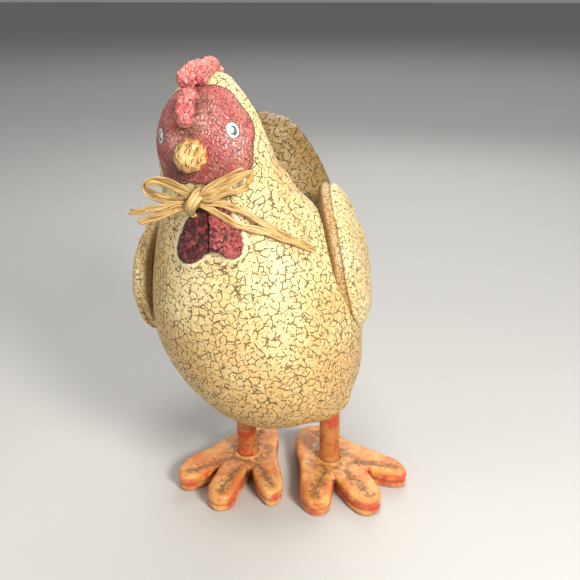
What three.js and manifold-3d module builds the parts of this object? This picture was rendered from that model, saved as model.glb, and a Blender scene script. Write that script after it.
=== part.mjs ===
// A standing folk-art hen: a hollow papier-mache body with a crackled cream finish, glued-on wings, tail,
// comb, beak and wattles, a raffia bow at the throat, and two wooden dowel legs on four-toed wooden feet.
// Millimetres, +Z up. The hen faces -Y and her left side is +X. The soles rest on z = 0.
import * as THREE from "three";
import { mergeVertices } from "three/addons/utils/BufferGeometryUtils.js";
import Module from "manifold-3d";

const wasm = await Module();
wasm.setup();

// ---------------------------------------------------------------- driving dimensions
const GLUE_GAP = 0.3; // left between any two pieces that meet
const FINEST = 0.04; // detail smaller than this is smoothed away
const WALL = 4.5; // papier-mache wall

// The bird (everything above the legs) stands a little crooked: it leans to its right about this pivot.
const LEAN_DEG = 10.5;
const LEAN_PIVOT_Z = 20;

const DOWEL_R = 6.2;
const LEG_LEAN_DEG = 1; // the dowels lean the same way, but less
const DOWEL_SOCKET_DEPTH = 6; // how far a dowel sinks into its foot
const DOWEL_TOP_Z = 68;

const SCREW_SHANK_R = 1.6;
const SCREW_HEAD_R = 3.6;
const SCREW_HEAD_HEIGHT = 2.4;
const SCREW_LENGTH = 24;
const SCREW_RECESS = 0.6; // how far the head sits above the sole
const SCREW_POINT = 3; // length of the tapered point
const SCREW_HEAD_EDGE = 0.5; // straight edge of the head, before it tapers

const FOOT_THICKNESS = 11;
const BOSS_R = 7.6; // raised ring round the dowel
const BOSS_HEIGHT = 1.6;
const FOOT_EDGE = 1.4; // rounding of a foot's edges
const FOOT_RIM_POINTS = 84;
// Each foot is one flat leaf-shaped board with three toes in front, and a heel that runs smoothly into the
// outer two. Its outline is x and y from the ankle, from behind the heel round the outer side of the foot.
const FEET = [
  {
    name: "left",
    ankle: [23.3, 6.1],
    outline: [
      [-3, 31.5],
      [4.5, 24.8],
      [17, 17],
      [33, 10],
      [40, 6],
      [45, 0.5],
      [46.3, -4.5],
      [43.5, -8.2],
      [37, -9],
      [28, -7.8],
      [21.5, -5.3],
      [25, -10.5],
      [29, -17],
      [32, -23.5],
      [32.5, -30],
      [29.5, -35],
      [25, -37],
      [19.5, -34.8],
      [12, -26.5],
      [6.5, -19.5],
      [4.3, -16],
      [4.6, -22],
      [5, -30],
      [3.8, -36.5],
      [-0.5, -41.3],
      [-6, -41],
      [-10.5, -36.5],
      [-13, -30],
      [-14.8, -19.5],
      [-17, -8],
      [-20.5, 3],
      [-23, 13],
      [-24.2, 23],
      [-20.5, 31],
      [-12, 34.6],
    ],
  },
  {
    name: "right",
    ankle: [-26.7, 3.3],
    outline: [
      [3, 32.5],
      [-5, 28.5],
      [-12, 20.5],
      [-20, 9],
      [-27, -1],
      [-33, -8.5],
      [-36.5, -16],
      [-36.5, -24],
      [-33.5, -29.5],
      [-28.5, -30.8],
      [-23, -26.5],
      [-17.5, -18.5],
      [-14, -12.5],
      [-14.2, -19],
      [-15, -28],
      [-15, -36],
      [-12, -42],
      [-6.5, -44.5],
      [-1.5, -42.3],
      [0.8, -37],
      [1.5, -29],
      [2.8, -20],
      [4.2, -13],
      [7, -18],
      [11, -25.5],
      [15.5, -32],
      [20.5, -35.8],
      [25, -32.5],
      [26.2, -24],
      [23, -13.5],
      [18.5, 0],
      [16, 12],
      [14.8, 23],
      [10.5, 30.5],
    ],
  },
];

// The timber bar inside the belly that both dowels are glued into.
const BLOCK = { width: 74, depth: 28, height: 24, x: 4, y: 5, z: 69 };

// Body sections from the belly to the crown: height, sway to her left, half width, breast y, back y.
const BODY_SECTIONS = [
  [47, 5.5, 0, 1, 1],
  [49, 7, 19, -20, 22],
  [57, 7.4, 34.2, -38, 40],
  [71, 5.6, 43.8, -52.5, 53],
  [90, 1.8, 51.8, -60, 61],
  [110, -0.5, 55.7, -61, 62],
  [129, -1.2, 54.7, -58, 59],
  [147, -1.2, 49.8, -53, 50],
  [162, -0.8, 42.9, -49, 34],
  [177, 0, 34.8, -46.5, 16],
  [190, 1, 29.6, -46.5, 3],
  [203, 1.3, 26.7, -49, -2],
  [215, 1.2, 24.4, -50, -3.5],
  [225.5, 1.6, 19.9, -47.5, -6],
  [233, 3.4, 14.6, -41, -11],
  [237.5, 5.4, 9.2, -34, -17],
  [239.8, 6, 0, -26, -26],
];
// Tail fan sections, listed the same way.
const TAIL_SECTIONS = [
  [112, 0, 0, 48, 48],
  [118, 1, 25, 24, 62],
  [132, 2, 37, 20, 71],
  [148, 2.2, 40.8, 26, 78],
  [163, 2, 38, 38, 83],
  [178, 1.8, 32, 49, 86],
  [191, 1.6, 25.4, 57, 87],
  [202, 1.4, 16.5, 63, 85],
  [208.5, 1.5, 0, 75, 75],
];
// The two body shells meet on a plane through the crown that slopes back towards the belly.
const SEAM_TOP = { y: -25, z: 237 };
const SEAM_SLOPE = 0.16;

// Wing outline seen from the side: y, z.
const WING_OUTLINE = [
  [12, 172],
  [-6, 165],
  [-18.5, 149.5],
  [-24, 130],
  [-22, 114],
  [-17, 105],
  [-6, 97.5],
  [12, 97],
  [31, 104.5],
  [45, 118],
  [50, 134],
  [45, 153],
  [31, 167],
];
const WING_CENTRE = { y: 10, z: 130 };
const WING_THICKNESS = 11;
// How far the wing's outer face stands from the middle of the bird: height, distance.
const WING_REACH = [
  [97, 58.5],
  [108, 61.5],
  [120, 62],
  [134, 61.5],
  [144, 59],
  [152, 56],
  [164, 51],
  [174, 43.5],
];
const WING_WRAP_FRONT = 0.0052; // how fast the wing curves in towards the breast, per mm squared
const WING_WRAP_BACK = 0.0085;
// Rings from behind the wing, round its rim and over its face: share of the outline, height above the
// outer face.
const WING_RINGS = [
  [0.35, -WING_THICKNESS - 6],
  [0.75, -WING_THICKNESS - 2],
  [0.93, -WING_THICKNESS + 1],
  [1, -WING_THICKNESS + 4],
  [1, -4.5],
  [0.96, -2],
  [0.86, -0.6],
  [0.6, 0.2],
  [0.25, 0.4],
];
const WING_WIDEST = -6; // the height where the rim stops widening
const WING_SIZE = 40; // from the middle of a wing to its rim
const WING_RIM_POINTS = 36;
// Her right wing is a little shorter than her left, and was stuck on higher and prouder. cant is how much
// further out a wing's top stands. side is 1 on her left.
const WINGS = [
  { name: "left_wing", side: 1, out: 0, cant: 3.2, up: 0, tall: 1 },
  { name: "right_wing", side: -1, out: 4.5, cant: -2, up: 6, tall: 0.9 },
];

// Red lobes along the top of the head. pitch tips a lobe's top forward, in degrees.
const COMB_LOBES = [
  { name: "comb_front_lobe", x: 1, y: -50, z: 227, radii: [5.4, 6, 9.4], pitch: -16 },
  { name: "comb_middle_lobe", x: 4.2, y: -35, z: 239, radii: [7, 13, 7.5], pitch: 14 },
  { name: "comb_rear_lobe", x: 6, y: -15, z: 239, radii: [5.6, 8.5, 5.8], pitch: -12 },
];

const BEAK_R = 7.2;
const BEAK_LENGTH = 12;
// Down the beak from its root: share of its radius, how far out.
const BEAK_OUTLINE = [
  [1, -4],
  [1, 1.5],
  [0.86, 5],
  [0.6, 8.6],
  [0.3, 11],
];
const BEAK = { x: -1.8, z: 207.3 };

// One wattle lobe seen from the front: x out from the ridge where the two meet, z.
const WATTLE_OUTLINE = [
  [0.3, 184],
  [5.5, 183.5],
  [11, 178],
  [15.2, 168],
  [16.6, 161],
  [12, 156.5],
  [5, 158.5],
  [0.3, 162.5],
];
const WATTLE_MIDDLE = { x: 7, z: 169.5 };
const WATTLE_HANG = 0.17; // the ridge runs this far to her right for each mm it drops
const WATTLE_THICKNESS = 4.5;
// Rings from behind a wattle to its face: share of the outline, height above the breast.
const WATTLE_RINGS = [
  [0.6, -8],
  [1, -2],
  [1, WATTLE_THICKNESS * 0.45],
  [0.9, WATTLE_THICKNESS * 0.8],
  [0.65, WATTLE_THICKNESS],
  [0.25, WATTLE_THICKNESS],
];
const WATTLE_SIZE = 8; // from the middle of a wattle to its side
const WATTLE_RIM_POINTS = 28;

const KNOT = { x: -2.3, y: -51.5, z: 187, radii: [3.6, 4, 6.2] };
const RAFFIA_WIDTH = 4.2;
const RAFFIA_THICKNESS = 1.4;
// Each strip's path, and the direction that its width runs in.
const RAFFIA_STRIPS = {
  bow_loop_right: {
    across: [0, 1, 0],
    path: [
      [-3, -53, 190],
      [-9, -53, 196.5],
      [-17, -53, 201],
      [-25, -53, 200.3],
      [-28, -53, 197],
      [-24.5, -53, 193.2],
      [-14, -53, 190.2],
      [-4, -53, 188],
    ],
  },
  bow_loop_left: {
    across: [0.25, 1, 0],
    path: [
      [-1, -53, 190],
      [6, -53, 194.5],
      [15, -51, 198.2],
      [23.5, -47, 199],
      [25.5, -45.5, 195],
      [23, -46.5, 190.5],
      [14, -51, 189],
      [0, -53, 187.5],
    ],
  },
  bow_tail_right_upper: {
    across: [0, 0.35, 1],
    path: [
      [-3, -53.5, 186.5],
      [-18, -53.5, 186.5],
      [-36, -52, 187],
    ],
  },
  bow_tail_right_lower: {
    across: [0, 0.35, 1],
    path: [
      [-3, -53.5, 184],
      [-18, -53, 182.5],
      [-33, -50.5, 181.3],
    ],
  },
  bow_tail_left_upper: {
    across: [0, 0, 1],
    path: [
      [-1, -53, 186],
      [12, -49, 181.5],
      [22.5, -44.6, 173],
      [33, -38.6, 162],
      [42.5, -30.6, 151.5],
    ],
  },
  bow_tail_left_lower: {
    across: [0, 0, 1],
    path: [
      [-1, -53, 183],
      [9, -50.5, 174.5],
      [21, -46.2, 166],
      [31, -41.2, 158.5],
    ],
  },
};

const SEGMENTS_ROUND = 24;
const SEGMENTS_BODY = 36;
const SEGMENTS_INSIDE = 20;

const COLOUR = {
  crackle: 0xe3cc8e,
  red: 0xa02c35,
  darkRed: 0x7a2530,
  beak: 0xe0a04c,
  raffia: 0xcfa567,
  foot: 0xc9703a,
  leg: 0xc8643a,
  timber: 0xc9a877,
  screw: 0x9a9a9a,
};

// ---------------------------------------------------------------- solids
// A closed geometry as a manifold-3d solid.
function solid(geometry) {
  const bare = geometry.index ? geometry.toNonIndexed() : geometry.clone();
  bare.deleteAttribute("normal");
  bare.deleteAttribute("uv");
  const merged = mergeVertices(bare, 1e-3);
  return new wasm.Manifold(
    new wasm.Mesh({
      numProp: 3,
      vertProperties: merged.attributes.position.array,
      triVerts: new Uint32Array(merged.index.array),
    }),
  );
}

function geometryOf(manifold) {
  const mesh = manifold.simplify(FINEST).getMesh();
  return new THREE.BufferGeometry()
    .setAttribute("position", new THREE.BufferAttribute(new Float32Array(mesh.vertProperties), 3))
    .setIndex(new THREE.BufferAttribute(new Uint32Array(mesh.triVerts), 1));
}

function mesh(name, shape, colour, roughness = 0.7) {
  const geometry = shape.isBufferGeometry ? shape : geometryOf(shape);
  geometry.computeVertexNormals();
  const metalness = colour === COLOUR.screw ? 1 : 0;
  const made = new THREE.Mesh(
    geometry,
    new THREE.MeshStandardMaterial({ color: colour, roughness, metalness }),
  );
  made.name = name;
  return made;
}

// Rings of points, each ring the same length, joined into a closed skin. The first and last rings are
// closed with a fan round their own middle.
function loft(rings) {
  const count = rings[0].length;
  const positions = rings.flat().flatMap((p) => [p.x, p.y, p.z]);
  const indices = [];
  for (let r = 0; r + 1 < rings.length; r++)
    for (let i = 0; i < count; i++) {
      const a = r * count + i;
      const b = r * count + ((i + 1) % count);
      indices.push(a, b, b + count, a, b + count, a + count);
    }
  const cap = (ring, base, flip) => {
    const middle = ring.reduce((sum, p) => sum.add(p), new THREE.Vector3()).divideScalar(count);
    positions.push(middle.x, middle.y, middle.z);
    const hub = positions.length / 3 - 1;
    for (let i = 0; i < count; i++) {
      const next = base + ((i + 1) % count);
      indices.push(...(flip ? [hub, next, base + i] : [hub, base + i, next]));
    }
  };
  cap(rings[0], 0, true);
  cap(rings.at(-1), (rings.length - 1) * count, false);
  return new THREE.BufferGeometry()
    .setAttribute("position", new THREE.BufferAttribute(new Float32Array(positions), 3))
    .setIndex(indices);
}

// ---------------------------------------------------------------- rounded bodies made of level ellipses
// A smooth stack of ellipses through a list of sections. grow moves the whole skin out (or in, below 0).
function stack(sections, grow = 0) {
  const side = new THREE.CatmullRomCurve3(
    sections.map(([z, sway, half]) => new THREE.Vector3(half, z, sway)),
    false,
    "catmullrom",
  );
  const profile = new THREE.CatmullRomCurve3(
    sections.map(([z, , , front, back]) => new THREE.Vector3(front, z, back)),
    false,
    "catmullrom",
  );
  const bottom = sections[0][0];
  const top = sections.at(-1)[0];
  const middle = (bottom + top) / 2;
  const at = (t) => {
    const s = side.getPoint(t);
    const p = profile.getPoint(t);
    const stretch = 1 + (2 * grow) / (top - bottom);
    return {
      z: middle + (s.y - middle) * stretch,
      sway: s.z,
      half: Math.max(s.x + grow, 0.02),
      centre: (p.x + p.z) / 2,
      depth: Math.max((p.z - p.x) / 2 + grow, 0.02),
    };
  };
  // The section at a height, found by halving.
  const level = (z) => {
    let low = 0;
    let high = 1;
    for (let i = 0; i < 30; i++) {
      const t = (low + high) / 2;
      if (at(t).z < z) low = t;
      else high = t;
    }
    return at(low);
  };
  const skin = (rows, segments) =>
    loft(
      Array.from({ length: rows + 1 }, (_, r) => {
        const { z, sway, half, centre, depth } = at(r / rows);
        return Array.from({ length: segments }, (_, i) => {
          const turn = (2 * Math.PI * i) / segments;
          return new THREE.Vector3(sway + half * Math.cos(turn), centre + depth * Math.sin(turn), z);
        });
      }),
    );
  return { level, skin };
}

const body = stack(BODY_SECTIONS);
const bodyRows = (BODY_SECTIONS.length - 1) * 2;
const bodyInnerRows = BODY_SECTIONS.length - 1;

// The body's breast surface at (x, z).
function breastY(x, z) {
  const s = body.level(z);
  return s.centre - s.depth * Math.sqrt(Math.max(0, 1 - ((x - s.sway) / s.half) ** 2));
}

const bodyKeepOut = solid(stack(BODY_SECTIONS, GLUE_GAP).skin(bodyRows, SEGMENTS_BODY));

// ---------------------------------------------------------------- legs, in the hen's own upright frame
// Direction a dowel runs, up from its ankle.
const legLean = THREE.MathUtils.degToRad(LEG_LEAN_DEG);
const legAxis = new THREE.Vector3(-Math.sin(legLean), 0, Math.cos(legLean));
const legTilt = new THREE.Quaternion().setFromUnitVectors(new THREE.Vector3(0, 0, 1), legAxis);
const dowelBottomZ = FOOT_THICKNESS + BOSS_HEIGHT - DOWEL_SOCKET_DEPTH;
const dowelLength = (DOWEL_TOP_Z - dowelBottomZ) / legAxis.z;

// A round rod along a leg, from one distance above the dowel's foot to another.
function legRod([x, y], radius, from, to) {
  const rod = new THREE.CylinderGeometry(radius, radius, to - from, SEGMENTS_ROUND);
  rod.rotateX(Math.PI / 2);
  rod.translate(0, 0, (from + to) / 2);
  rod.applyQuaternion(legTilt);
  rod.translate(x, y, dowelBottomZ);
  return rod;
}

// A countersunk wood screw standing on its head, up from z = 0. grow and below make its clearance hole.
function screwShape(grow, below) {
  const head = SCREW_HEAD_R + grow;
  const shank = SCREW_SHANK_R + grow;
  const outline = [
    [0, -below],
    [head, -below],
    [head, SCREW_HEAD_EDGE],
    [shank, SCREW_HEAD_HEIGHT],
    [shank, SCREW_LENGTH - SCREW_POINT],
    [0, SCREW_LENGTH + grow],
  ].map(([r, z]) => new THREE.Vector2(r, z));
  const lathe = new THREE.LatheGeometry(outline, 16);
  lathe.rotateX(Math.PI / 2);
  return lathe;
}

function placedScrew([x, y], grow = 0, below = 0) {
  const down = (dowelBottomZ - SCREW_RECESS) / legAxis.z;
  const shape = screwShape(grow, below).applyQuaternion(legTilt);
  return solid(shape.translate(x - legAxis.x * down, y, SCREW_RECESS));
}

// ---------------------------------------------------------------- feet
function foot({ ankle, outline }) {
  const edge = new THREE.CatmullRomCurve3(
    outline.map(([x, y]) => new THREE.Vector3(x, y, 0)),
    true,
    "centripetal",
  );
  const rim = edge.getSpacedPoints(FOOT_RIM_POINTS).slice(0, -1);
  const board = new THREE.ExtrudeGeometry(new THREE.Shape(rim.map((p) => new THREE.Vector2(p.x, p.y))), {
    depth: FOOT_THICKNESS - 2 * FOOT_EDGE,
    bevelThickness: FOOT_EDGE,
    bevelSize: FOOT_EDGE,
    bevelOffset: -FOOT_EDGE,
    bevelSegments: 1,
  });
  board.translate(0, 0, FOOT_EDGE);
  const boss = new THREE.CylinderGeometry(BOSS_R, BOSS_R + 1, 2 * BOSS_HEIGHT, SEGMENTS_ROUND);
  boss.rotateX(Math.PI / 2).translate(0, 0, FOOT_THICKNESS);
  const socket = legRod(ankle, DOWEL_R + GLUE_GAP, -GLUE_GAP, dowelLength);
  return solid(board)
    .add(solid(boss))
    .translate([...ankle, 0])
    .subtract(solid(socket))
    .subtract(placedScrew(ankle, GLUE_GAP, 2));
}

const hen = new THREE.Group();
hen.name = "hen";

for (const { name, ankle, outline } of FEET) {
  hen.add(mesh(name + "_foot", foot({ ankle, outline }), COLOUR.foot, 0.6));
  const dowel = solid(legRod(ankle, DOWEL_R, 0, dowelLength));
  hen.add(mesh(name + "_leg_dowel", dowel.subtract(placedScrew(ankle, GLUE_GAP)), COLOUR.leg, 0.6));
  hen.add(mesh(name + "_foot_screw", placedScrew(ankle), COLOUR.screw, 0.4));
}

// ---------------------------------------------------------------- the leaning bird
const bird = new THREE.Group();
bird.position.set(0, 0, LEAN_PIVOT_Z);
bird.rotation.y = -THREE.MathUtils.degToRad(LEAN_DEG);
hen.add(bird);
bird.updateMatrix();
const intoBird = new THREE.Matrix4().makeTranslation(0, 0, LEAN_PIVOT_Z);
intoBird.multiply(bird.matrix.clone().invert());

// A piece made in the bird's unleaned frame, hung in the leaning group.
function hang(name, shape, colour, roughness) {
  const made = mesh(name, shape, colour, roughness);
  made.position.z = -LEAN_PIVOT_Z;
  bird.add(made);
}

const legHoles = FEET.map(({ ankle }) =>
  solid(legRod(ankle, DOWEL_R + GLUE_GAP, -10, dowelLength + GLUE_GAP).applyMatrix4(intoBird)),
);

// ---------------------------------------------------------------- body shells
const seamTilt = Math.atan(SEAM_SLOPE);

// Everything on one side of the body's seam, as a large slab. side is -1 in front and 1 behind.
function seamHalf(side, gap) {
  const reach = 400;
  const slab = new THREE.BoxGeometry(reach, reach, 2 * reach);
  slab.translate(0, (side * reach) / 2 + side * gap, 0);
  slab.rotateX(seamTilt);
  slab.translate(0, SEAM_TOP.y, SEAM_TOP.z);
  return solid(slab);
}

const bodyOuter = solid(body.skin(bodyRows, SEGMENTS_BODY));
const bodyInner = solid(stack(BODY_SECTIONS, -WALL).skin(bodyInnerRows, SEGMENTS_INSIDE));
const bodyShell = legHoles.reduce((shell, hole) => shell.subtract(hole), bodyOuter.subtract(bodyInner));
hang("body_front_shell", bodyShell.intersect(seamHalf(-1, GLUE_GAP / 2)), COLOUR.crackle);
hang("body_rear_shell", bodyShell.intersect(seamHalf(1, GLUE_GAP / 2)), COLOUR.crackle);

const bellyRoom = solid(stack(BODY_SECTIONS, -WALL - GLUE_GAP).skin(bodyInnerRows, SEGMENTS_INSIDE));
const bar = new THREE.BoxGeometry(BLOCK.width, BLOCK.depth, BLOCK.height);
bar.translate(BLOCK.x, BLOCK.y, BLOCK.z);
const block = legHoles.reduce((left, hole) => left.subtract(hole), solid(bar).intersect(bellyRoom));
hang("leg_block", block, COLOUR.timber);

// ---------------------------------------------------------------- tail
const tailRows = (TAIL_SECTIONS.length - 1) * 2;
const tailOuter = solid(stack(TAIL_SECTIONS).skin(tailRows, SEGMENTS_ROUND));
const tailInner = solid(stack(TAIL_SECTIONS, -WALL).skin(TAIL_SECTIONS.length - 1, SEGMENTS_INSIDE));
const tailPieces = tailOuter.subtract(tailInner).subtract(bodyKeepOut).decompose();
const tail = tailPieces.reduce((best, piece) => (piece.volume() > best.volume() ? piece : best));
hang("tail_fan", tail, COLOUR.crackle);

// ---------------------------------------------------------------- pieces glued onto the body
const keepOuts = [bodyKeepOut, solid(stack(TAIL_SECTIONS, GLUE_GAP).skin(tailRows, SEGMENTS_ROUND))];

// Cuts a new piece back from everything already in place and keeps its largest part. grown is the same
// piece a glue gap larger, which later pieces are cut back from in turn.
function fit(piece, grown) {
  const cut = keepOuts.reduce((left, keepOut) => left.subtract(keepOut), piece);
  keepOuts.push(grown);
  return cut.decompose().reduce((best, part) => (part.volume() > best.volume() ? part : best));
}

// Straight-line reading of a list of [at, value] pairs.
function read(table, at) {
  const next = table.findIndex(([stop]) => stop > at);
  if (next === -1) return table.at(-1)[1];
  if (next === 0) return table[0][1];
  const [a, from] = table[next - 1];
  const [b, to] = table[next];
  return from + ((to - from) * (at - a)) / (b - a);
}

// A domed pad that wraps round the flank.
function wing({ side, out, cant, up, tall }, grow = 0) {
  const outline = new THREE.CatmullRomCurve3(
    WING_OUTLINE.map(([y, z]) => new THREE.Vector3(0, y, z)),
    true,
    "catmullrom",
  );
  const rim = outline.getPoints(WING_RIM_POINTS).slice(0, -1);
  const outerX = (y, z) => {
    const wrap = y < WING_CENTRE.y ? WING_WRAP_FRONT : WING_WRAP_BACK;
    return read(WING_REACH, z) - wrap * (y - WING_CENTRE.y) ** 2;
  };
  const rings = WING_RINGS.map(([share, lift]) =>
    rim.map((p) => {
      const scale = share * (1 + grow / WING_SIZE);
      const y = WING_CENTRE.y + (p.y - WING_CENTRE.y) * scale;
      const rise = (p.z - WING_CENTRE.z) * scale;
      const stand = out + (cant * Math.max(rise, 0)) / WING_SIZE;
      const x = outerX(y, WING_CENTRE.z + rise) + stand + lift + Math.sign(lift - WING_WIDEST) * grow;
      return new THREE.Vector3(side * x, y, WING_CENTRE.z + rise * tall + up);
    }),
  );
  return solid(loft(side > 0 ? rings : rings.map((ring) => ring.slice().reverse())));
}

for (const place of WINGS) hang(place.name, fit(wing(place), wing(place, GLUE_GAP)), COLOUR.crackle);

// An egg-shaped lump.
function lump({ x, y, z, radii, pitch = 0 }, grow = 0) {
  const ball = new THREE.SphereGeometry(1, 16, 10).rotateX(Math.PI / 2);
  ball.scale(radii[0] + grow, radii[1] + grow, radii[2] + grow);
  ball.rotateX(THREE.MathUtils.degToRad(pitch));
  return solid(ball.translate(x, y, z));
}

for (const lobe of COMB_LOBES) hang(lobe.name, fit(lump(lobe), lump(lobe, GLUE_GAP)), COLOUR.red, 0.5);

// A blunt cone pointing straight ahead.
function beak(grow = 0) {
  const side = BEAK_OUTLINE.map(([share, out]) => new THREE.Vector2(share * BEAK_R + grow, out));
  const root = new THREE.Vector2(0, BEAK_OUTLINE[0][1]);
  const tip = new THREE.Vector2(0, BEAK_LENGTH + grow);
  const cone = new THREE.LatheGeometry([root, ...side, tip], SEGMENTS_ROUND).rotateX(Math.PI);
  return solid(cone.translate(BEAK.x, breastY(BEAK.x, BEAK.z), BEAK.z));
}
hang("beak", fit(beak(), beak(GLUE_GAP)), COLOUR.beak, 0.5);

// One flattened lobe hanging on the breast below the knot.
function wattle(side, grow = 0) {
  const outline = new THREE.Shape();
  outline.setFromPoints(WATTLE_OUTLINE.map(([x, z]) => new THREE.Vector2(x, z)));
  const rim = outline.getSpacedPoints(WATTLE_RIM_POINTS).slice(0, -1);
  const rings = WATTLE_RINGS.map(([share, lift]) =>
    rim.map((p) => {
      const scale = share * (1 + grow / WATTLE_SIZE);
      const z = WATTLE_MIDDLE.z + (p.y - WATTLE_MIDDLE.z) * scale;
      const ridge = (z - WATTLE_OUTLINE[0][1]) * WATTLE_HANG;
      const x = ridge + side * (WATTLE_MIDDLE.x + (p.x - WATTLE_MIDDLE.x) * scale);
      return new THREE.Vector3(x, breastY(x, z) - lift - Math.sign(lift) * grow, z);
    }),
  );
  return solid(loft(side < 0 ? rings : rings.map((ring) => ring.slice().reverse())));
}
hang("left_wattle", fit(wattle(1), wattle(1, GLUE_GAP)), COLOUR.darkRed, 0.5);
hang("right_wattle", fit(wattle(-1), wattle(-1, GLUE_GAP)), COLOUR.darkRed, 0.5);

// ---------------------------------------------------------------- raffia bow
hang("bow_knot", fit(lump(KNOT), lump(KNOT, GLUE_GAP)), COLOUR.raffia, 0.9);

// A flat strip of raffia along a smooth path. across is the direction its width runs in.
function strip(path, across, grow = 0) {
  const curve = new THREE.CatmullRomCurve3(
    path.map((p) => new THREE.Vector3(...p)),
    false,
    "centripetal",
  );
  const steps = path.length * 3;
  const rings = [];
  for (let i = 0; i <= steps; i++) {
    const along = curve.getTangentAt(i / steps);
    const wide = new THREE.Vector3(...across).projectOnPlane(along).setLength(RAFFIA_WIDTH / 2 + grow);
    const thick = new THREE.Vector3().crossVectors(along, wide).setLength(RAFFIA_THICKNESS / 2 + grow);
    const at = curve.getPointAt(i / steps);
    rings.push(
      [
        [1, 1],
        [-1, 1],
        [-1, -1],
        [1, -1],
      ].map(([w, t]) => at.clone().addScaledVector(wide, w).addScaledVector(thick, t)),
    );
  }
  return solid(loft(rings));
}

for (const [name, { path, across }] of Object.entries(RAFFIA_STRIPS))
  hang(name, fit(strip(path, across), strip(path, across, GLUE_GAP)), COLOUR.raffia, 0.9);

// ---------------------------------------------------------------- origin under the middle of the hen
hen.updateMatrixWorld(true);
const middleOfHen = new THREE.Box3().setFromObject(hen, true).getCenter(new THREE.Vector3());
hen.position.set(-middleOfHen.x, -middleOfHen.y, 0);

export default hen;
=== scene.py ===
"""The looks of a standing folk-art hen ornament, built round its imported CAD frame.

Metres, +Z up. The hen faces -Y and her left side is +X. Everything above her legs leans, so it is worked
out upright, in "bird" millimetres, and then leaned into place by the matrix BIRD.
"""
import math
import random

import bmesh
import bpy
import numpy as np
from mathutils import Matrix, Vector, noise
from mathutils.bvhtree import BVHTree


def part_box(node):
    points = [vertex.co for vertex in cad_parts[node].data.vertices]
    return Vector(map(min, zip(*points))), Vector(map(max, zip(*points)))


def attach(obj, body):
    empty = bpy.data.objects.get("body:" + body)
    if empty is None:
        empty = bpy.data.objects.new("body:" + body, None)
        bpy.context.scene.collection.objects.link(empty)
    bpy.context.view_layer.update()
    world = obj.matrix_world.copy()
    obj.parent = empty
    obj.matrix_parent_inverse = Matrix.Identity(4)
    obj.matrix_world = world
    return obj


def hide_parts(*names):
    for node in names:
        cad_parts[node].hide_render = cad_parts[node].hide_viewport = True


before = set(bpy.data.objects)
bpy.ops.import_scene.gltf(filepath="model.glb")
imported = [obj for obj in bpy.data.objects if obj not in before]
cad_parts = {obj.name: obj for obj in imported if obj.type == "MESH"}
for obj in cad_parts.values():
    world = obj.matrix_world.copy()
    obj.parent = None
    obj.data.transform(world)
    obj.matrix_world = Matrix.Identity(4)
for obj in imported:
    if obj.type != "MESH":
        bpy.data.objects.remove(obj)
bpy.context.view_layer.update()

MM = 0.001


# ------------------------------------------------------------------ where things are
def middle(node):
    low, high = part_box(node)
    return (low + high) / 2


# The bird leans about a point above the ground between her ankles. The foot screws stand a little off it.
LEAN = math.radians(10.5)
LEAN_HEIGHT = 20 * MM
SCREWS_TO_PIVOT = Vector((1.6, -4.7, 0)) * MM
GROUND = (middle("left_foot_screw") + middle("right_foot_screw")) / 2 + SCREWS_TO_PIVOT
GROUND.z = 0
BIRD = (
    Matrix.Translation(GROUND + Vector((0, 0, LEAN_HEIGHT)))
    @ Matrix.Rotation(-LEAN, 4, "Y")
    @ Matrix.Translation((0, 0, -LEAN_HEIGHT))
    @ Matrix.Scale(MM, 4)
)
TO_BIRD = BIRD.inverted()

HEAD_AXIS = (1.7, -26.0)  # x and y of the line that the head stands round, in bird millimetres
HEAD_R = 24.0
FACE_Z = 212.0
EYES = {"left": (43, 214.2), "right": (50, 216.6)}  # degrees round from straight ahead, and height


# ------------------------------------------------------------------ camera, lights and floor
CAMERA_AWAY = 0.350  # along the floor from GROUND
CAMERA_HEIGHT = 0.268
CAMERA_YAW = 10.0  # degrees to her left of straight in front
CAMERA_PITCH = 22.7  # degrees down
CAMERA_LENS = 43.45
FLOOR_REACH = 40.0


def linked(name, data):
    thing = bpy.data.objects.new(name, data)
    bpy.context.scene.collection.objects.link(thing)
    return thing


def look_at(thing, place, forward):
    right = forward.cross(Vector((0, 0, 1))).normalized()
    up = right.cross(forward)
    turn = Matrix((right, up, -forward.normalized())).transposed()
    thing.matrix_world = Matrix.Translation(place) @ turn.to_4x4()


def make_camera():
    pitch, yaw = math.radians(CAMERA_PITCH), math.radians(CAMERA_YAW)
    data = bpy.data.cameras.new("camera")
    data.sensor_width = 36
    data.lens = CAMERA_LENS
    data.clip_start = 0.01
    camera = linked("camera", data)
    place = GROUND + Vector((CAMERA_AWAY * math.sin(yaw), -CAMERA_AWAY * math.cos(yaw), CAMERA_HEIGHT))
    forward = Vector((-math.sin(yaw) * math.cos(pitch), math.cos(yaw) * math.cos(pitch), -math.sin(pitch)))
    look_at(camera, place, forward)
    bpy.context.scene.camera = camera


def make_light(name, place, aim, size, watts, colour):
    data = bpy.data.lights.new(name, "AREA")
    data.shape = "DISK"
    data.size = size
    data.energy = watts
    data.color = colour
    look_at(linked(name, data), Vector(place), (Vector(aim) - Vector(place)).normalized())


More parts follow.
